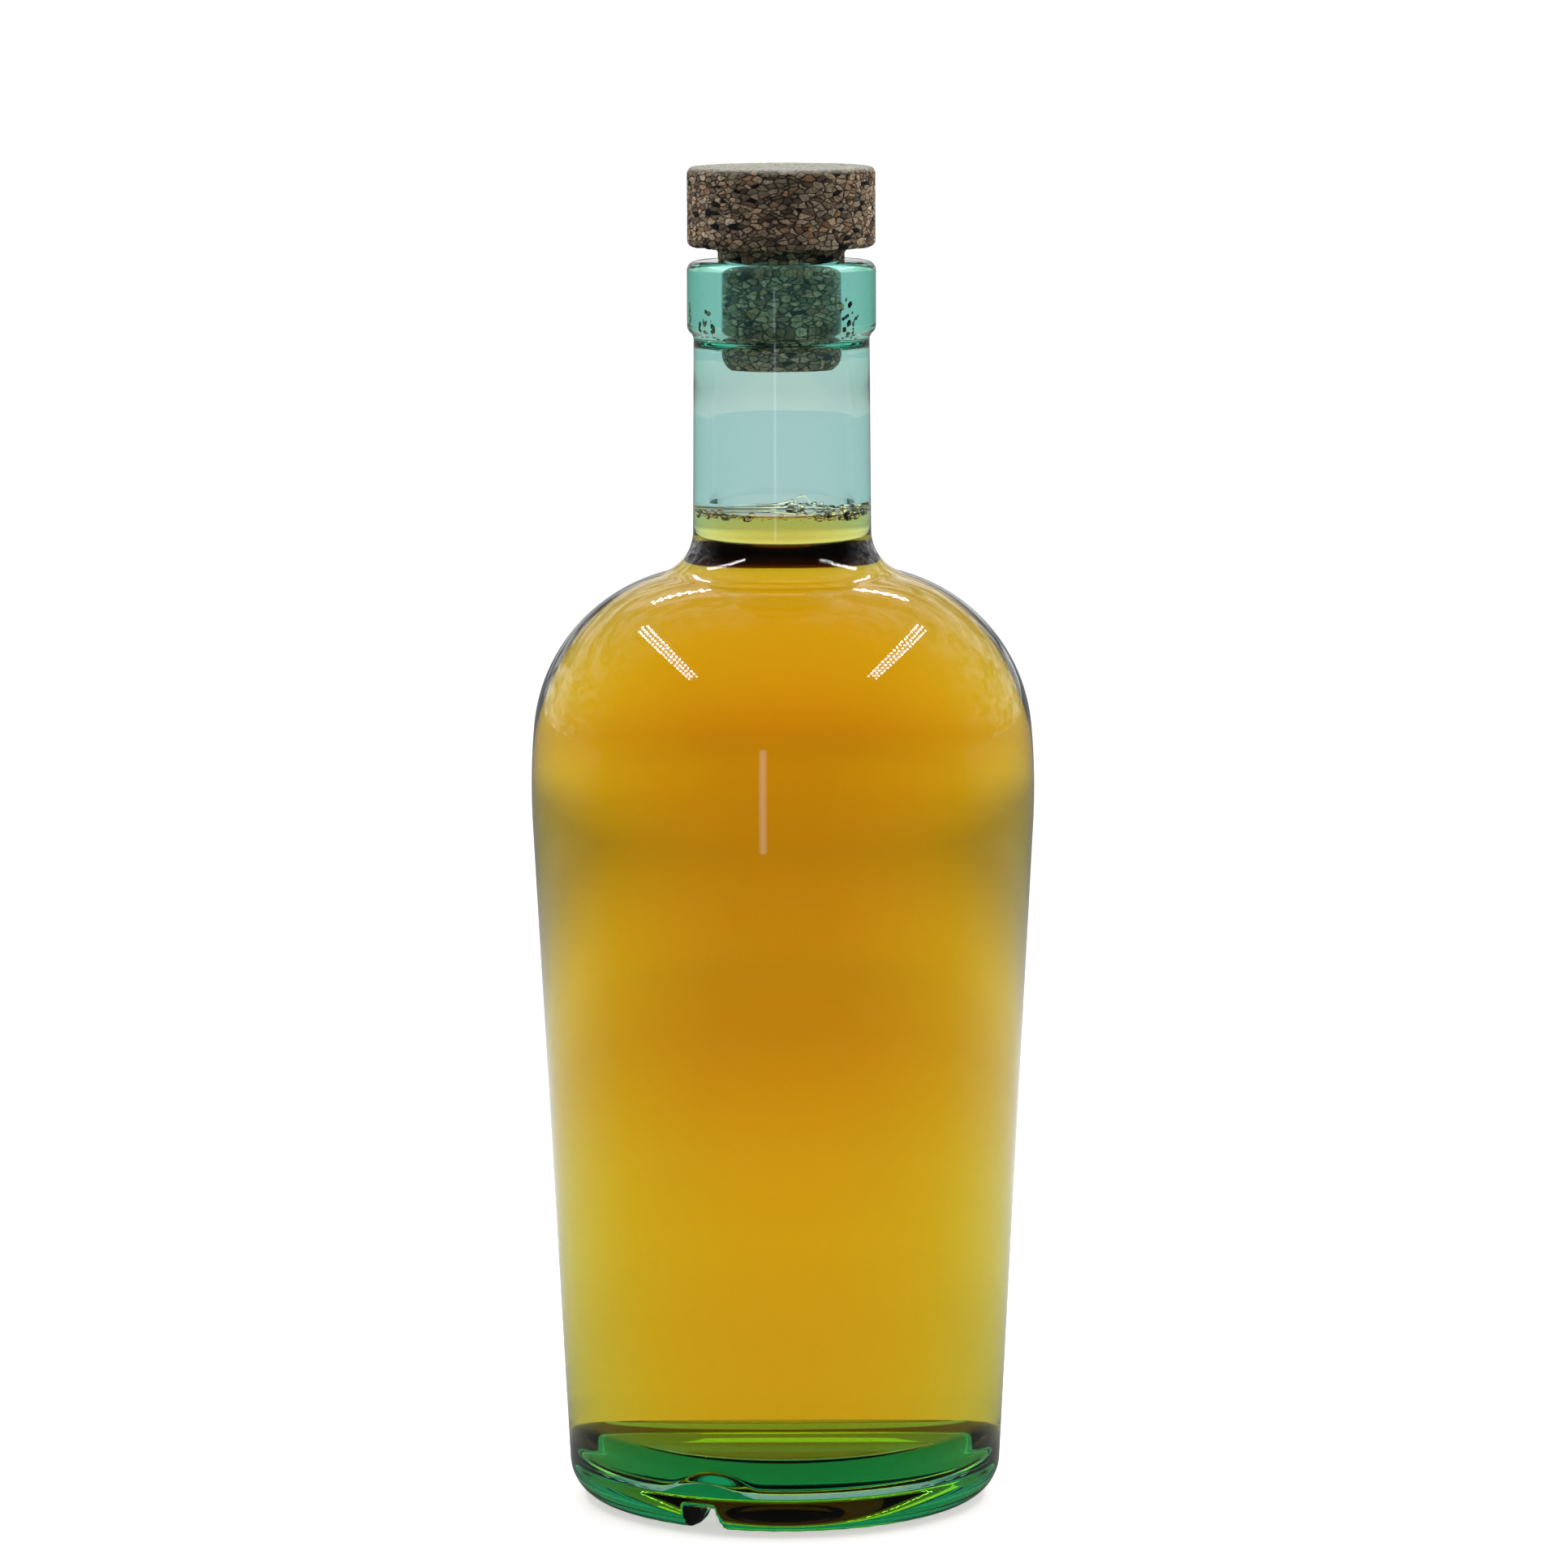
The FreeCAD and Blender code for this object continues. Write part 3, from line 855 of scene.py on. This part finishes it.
sky = WorldSheet(world)
seen, through, shine = rays(sky, "Is Camera Ray", "Is Transmission Ray", "Is Glossy Ray")
direction = sky.node("ShaderNodeTexCoord", {}, [], "Generated")
aside, ahead, upward = [sky.node("ShaderNodeSeparateXYZ", {}, [direction], axis) for axis in "XYZ"]
through_light = sky.ramp(upward, 0.0, 0.35, 0.75, 0.6) * sky.ramp(ahead, -0.3, 0.3, 0.75, 1.0)
cloth = sky.node("ShaderNodeVectorMath", {"operation": "MULTIPLY"}, [direction, fold_shape], "Vector")
folds = sky.node("ShaderNodeTexNoise", {}, {
    "Vector": cloth, "Scale": 2.4, "Detail": 3.0, "Distortion": 1.2}, "Fac")
shine_light = sky.ramp(ahead, 0.0, 0.8, 0.015, 0.75) * sky.ramp(folds, 0.38, 0.68, 0.25, 1.7)
even_light = 0.56 + ahead * 0.62 + upward * 0.3 + aside * 0.14
plain_light = sky.node("ShaderNodeMath", {"operation": "MAXIMUM"}, [even_light, least_light])
other_light = shine * shine_light + (1 - shine) * plain_light
strength = seen + (1 - seen) * (through * through_light + (1 - through) * other_light)
light = sky.node("ShaderNodeBackground", {}, {"Color": (1, 1, 1, 1), "Strength": strength})
sky.node("ShaderNodeOutputWorld", {}, {"Surface": light})


# ---------------------------------------------------------------------------------------------
# The table. A pale matt sheet that is lit from below as well. Glass and drink show it in colours that
# change with the distance. In mirrored light only the part behind the bottle is bright.
# ---------------------------------------------------------------------------------------------
table_radius = 20
table_corners = 96
table_drop = 0.05 * MM
table_paint = 0.78
table_glow = 0.52
ramp_length = 2.0
table_colours = [
    (0.0, (0.75, 0.77, 0.86)), (0.10, (0.77, 0.78, 0.85)), (0.16, (0.81, 0.85, 0.89)),
    (0.22, (0.80, 0.83, 0.86)), (0.28, (0.77, 0.74, 0.73)), (0.34, (0.73, 0.68, 0.66)),
    (0.44, (0.77, 0.77, 0.70)), (0.62, (0.60, 0.62, 0.65)), (0.80, (0.54, 0.62, 0.64)),
    (1.0, (0.51, 0.60, 0.63)),
]
black = (0.0, 0.0, 0.0)
white = (1.0, 1.0, 1.0)


def staged(name, corners, faces, sheet):
    """A flat thing of the studio, which is no part of the bottle."""
    mesh = bpy.data.meshes.new(name)
    mesh.from_pydata(corners, [], faces)
    mesh.materials.append(sheet.material)
    thing = bpy.data.objects.new(name, mesh)
    bpy.context.collection.objects.link(thing)


table = Sheet("pale_floor")
through, shine, scattered = rays(table, "Is Transmission Ray", "Is Glossy Ray", "Is Diffuse Ray")
place = table.node("ShaderNodeTexCoord", {}, [], "Object")
away = table.node("ShaderNodeVectorMath", {"operation": "LENGTH"}, [place], "Value")
beside, behind = [table.node("ShaderNodeSeparateXYZ", {}, [place], axis) for axis in "XY"]
wide = table.node("ShaderNodeMath", {"operation": "ABSOLUTE"}, [beside])
fading = table.node("ShaderNodeValToRGB", {"stops": table_colours}, [away * (1 / ramp_length)], "Color")
brighter = table.ramp(wide, 0.08, 0.5, 0.0, 0.36) * table.ramp(away, 0.95, 1.3, 1.0, 0.0) + 1.0
widened = table.node("ShaderNodeVectorMath", {"operation": "SCALE"}, {0: fading, "Scale": brighter}, "Vector")
through_tint = table.mixed(through, white, widened)
scattered_tint = table.mixed(table.ramp(behind, -0.6, 0.6, 0.04, 1.0), black, white)
soft_tint = table.mixed(scattered, through_tint, scattered_tint)
mirrored = table.ramp(behind, -0.06, 0.40, 0.015, 0.9) * table.ramp(away, 0.30, 0.75, 1.0, 0.25)
mirrored_tint = table.mixed(mirrored, black, white)
tint = table.mixed(shine * (1 - through), soft_tint, mirrored_tint)
paint = table.node("ShaderNodeVectorMath", {"operation": "SCALE"}, {0: tint, "Scale": table_paint}, "Vector")
lit = table.node("ShaderNodeBsdfDiffuse", {}, {"Color": paint})
glow = table.node("ShaderNodeEmission", {}, {"Color": tint, "Strength": table_glow})
both = table.node("ShaderNodeAddShader", {}, [lit, glow])
table.node("ShaderNodeOutputMaterial", {}, {"Surface": both})
turns = [2 * math.pi * i / table_corners for i in range(table_corners)]
table_edge = [(table_radius * math.cos(a), table_radius * math.sin(a), -table_drop) for a in turns]
staged("floor", table_edge, [list(range(table_corners))], table)


# ---------------------------------------------------------------------------------------------
# The lamps. Three rows of small square lamps on a strip over each side, and over the back with a gap
# in the middle. Their rows show as bright slanting bars in the shoulder.
# ---------------------------------------------------------------------------------------------
lamp_half = 3.2 * MM
lamp_strength = 85.0
lamp_rows = 3
lamps_in_row = 20
row_gap = 15 * MM
strip_half = 183 * MM
strip_height = 448 * MM
side_reach = 250 * MM
back_reach = 339 * MM
back_gap = 50 * MM
lamp_points, lamp_faces = [], []


def lamp(x, y):
    start = len(lamp_points)
    for dx, dy in ((-1, -1), (1, -1), (1, 1), (-1, 1)):
        lamp_points.append((x + dx * lamp_half, y + dy * lamp_half, strip_height))
    lamp_faces.append([start, start + 1, start + 2, start + 3])


for row in range(lamp_rows):
    shift = (row - 1) * row_gap
    for i in range(lamps_in_row):
        along = -strip_half + 2 * strip_half * (i + 0.5 * (row % 2)) / lamps_in_row
        for side in (-1, 1):
            lamp(side * (side_reach + shift), along)
        if abs(along) > back_gap:
            lamp(along, back_reach + shift)
bright = Sheet("led_light")
glow = bright.node("ShaderNodeEmission", {}, {"Color": (1, 1, 1, 1), "Strength": lamp_strength})
bright.node("ShaderNodeOutputMaterial", {}, {"Surface": glow})
staged("led_strips", lamp_points, lamp_faces, bright)


# ---------------------------------------------------------------------------------------------
# Two lit cards. One in front shows only as an upright streak mirrored in the side of the bottle. One
# high at the back shows only through glass and drink together, as a warm light in the base.
# ---------------------------------------------------------------------------------------------
card_middle = -76 * MM
card_half = 21 * MM
card_core = 3 * MM
card_low, card_high = 12 * MM, 190 * MM
card_before = -0.5
card_strength = 2.4
card_tint = (0.80, 0.88, 1.0)
strip_left, strip_right = -0.34, 0.23
strip_low, strip_high = 0.30, 0.62
strip_behind = 0.8
strip_tint = (1.0, 0.76, 0.25)
strip_strength = 3.0
past_glass_and_drink = 4.5


def upright(low_x, high_x, y, low_z, high_z):
    """The corners of an upright card."""
    return [(low_x, y, low_z), (high_x, y, low_z), (high_x, y, high_z), (low_x, y, high_z)]


def lit_for(sheet, share, colour, strength):
    """Light that only some rays meet. To all others the card is clear."""
    glow = sheet.node("ShaderNodeEmission", {}, {"Color": (*colour, 1), "Strength": strength})
    clear = sheet.node("ShaderNodeBsdfTransparent", {}, {})
    shown = sheet.node("ShaderNodeMixShader", {}, [share, clear, glow])
    sheet.node("ShaderNodeOutputMaterial", {}, {"Surface": shown})


slit = Sheet("slit_light")
place = slit.node("ShaderNodeTexCoord", {}, [], "Object")
across = slit.node("ShaderNodeSeparateXYZ", {}, [place], "X")
offset = slit.node("ShaderNodeMath", {"operation": "ABSOLUTE"}, [across - card_middle])
soft_edge = slit.node("ShaderNodeMapRange", {"interpolation_type": "SMOOTHSTEP"}, {
    "Value": offset, "From Min": card_core, "From Max": card_half,
    "To Min": card_strength, "To Max": 0.0}, "Result")
through, shine = rays(slit, "Is Transmission Ray", "Is Glossy Ray")
lit_for(slit, shine * (1 - through), card_tint, soft_edge)
card_corners = upright(card_middle - card_half, card_middle + card_half, card_before, card_low, card_high)
staged("slit_card", card_corners, [[0, 1, 2, 3]], slit)

diffused = Sheet("strip_light")
[depth] = rays(diffused, "Transmission Depth")
deep = diffused.node("ShaderNodeMath", {"operation": "GREATER_THAN"}, [depth, past_glass_and_drink])
lit_for(diffused, deep, strip_tint, deep * strip_strength)
strip_corners = upright(strip_left, strip_right, strip_behind, strip_low, strip_high)
staged("back_strip", strip_corners, [[0, 1, 2, 3]], diffused)


# ---------------------------------------------------------------------------------------------
# The camera. It stands in front, a little above the cork and about 1.25 m away, and looks slightly
# down. Its roll is the small lean of a camera held on a tripod.
# ---------------------------------------------------------------------------------------------
camera_aside = 0.1 * MM
camera_distance = 1254.9 * MM
camera_height = 288.4 * MM
camera_pitch = 7.30
camera_roll = -0.175
camera_data = bpy.data.cameras.new("camera")
camera_data.sensor_width = 36
camera_data.lens = 164.1
camera = bpy.data.objects.new("camera", camera_data)
bpy.context.collection.objects.link(camera)
camera.matrix_world = (
    Matrix.Translation((camera_aside, -camera_distance, camera_height))
    @ Matrix.Rotation(math.radians(90 - camera_pitch), 4, "X")
    @ Matrix.Rotation(math.radians(camera_roll), 4, "Z")
)
scene.camera = camera
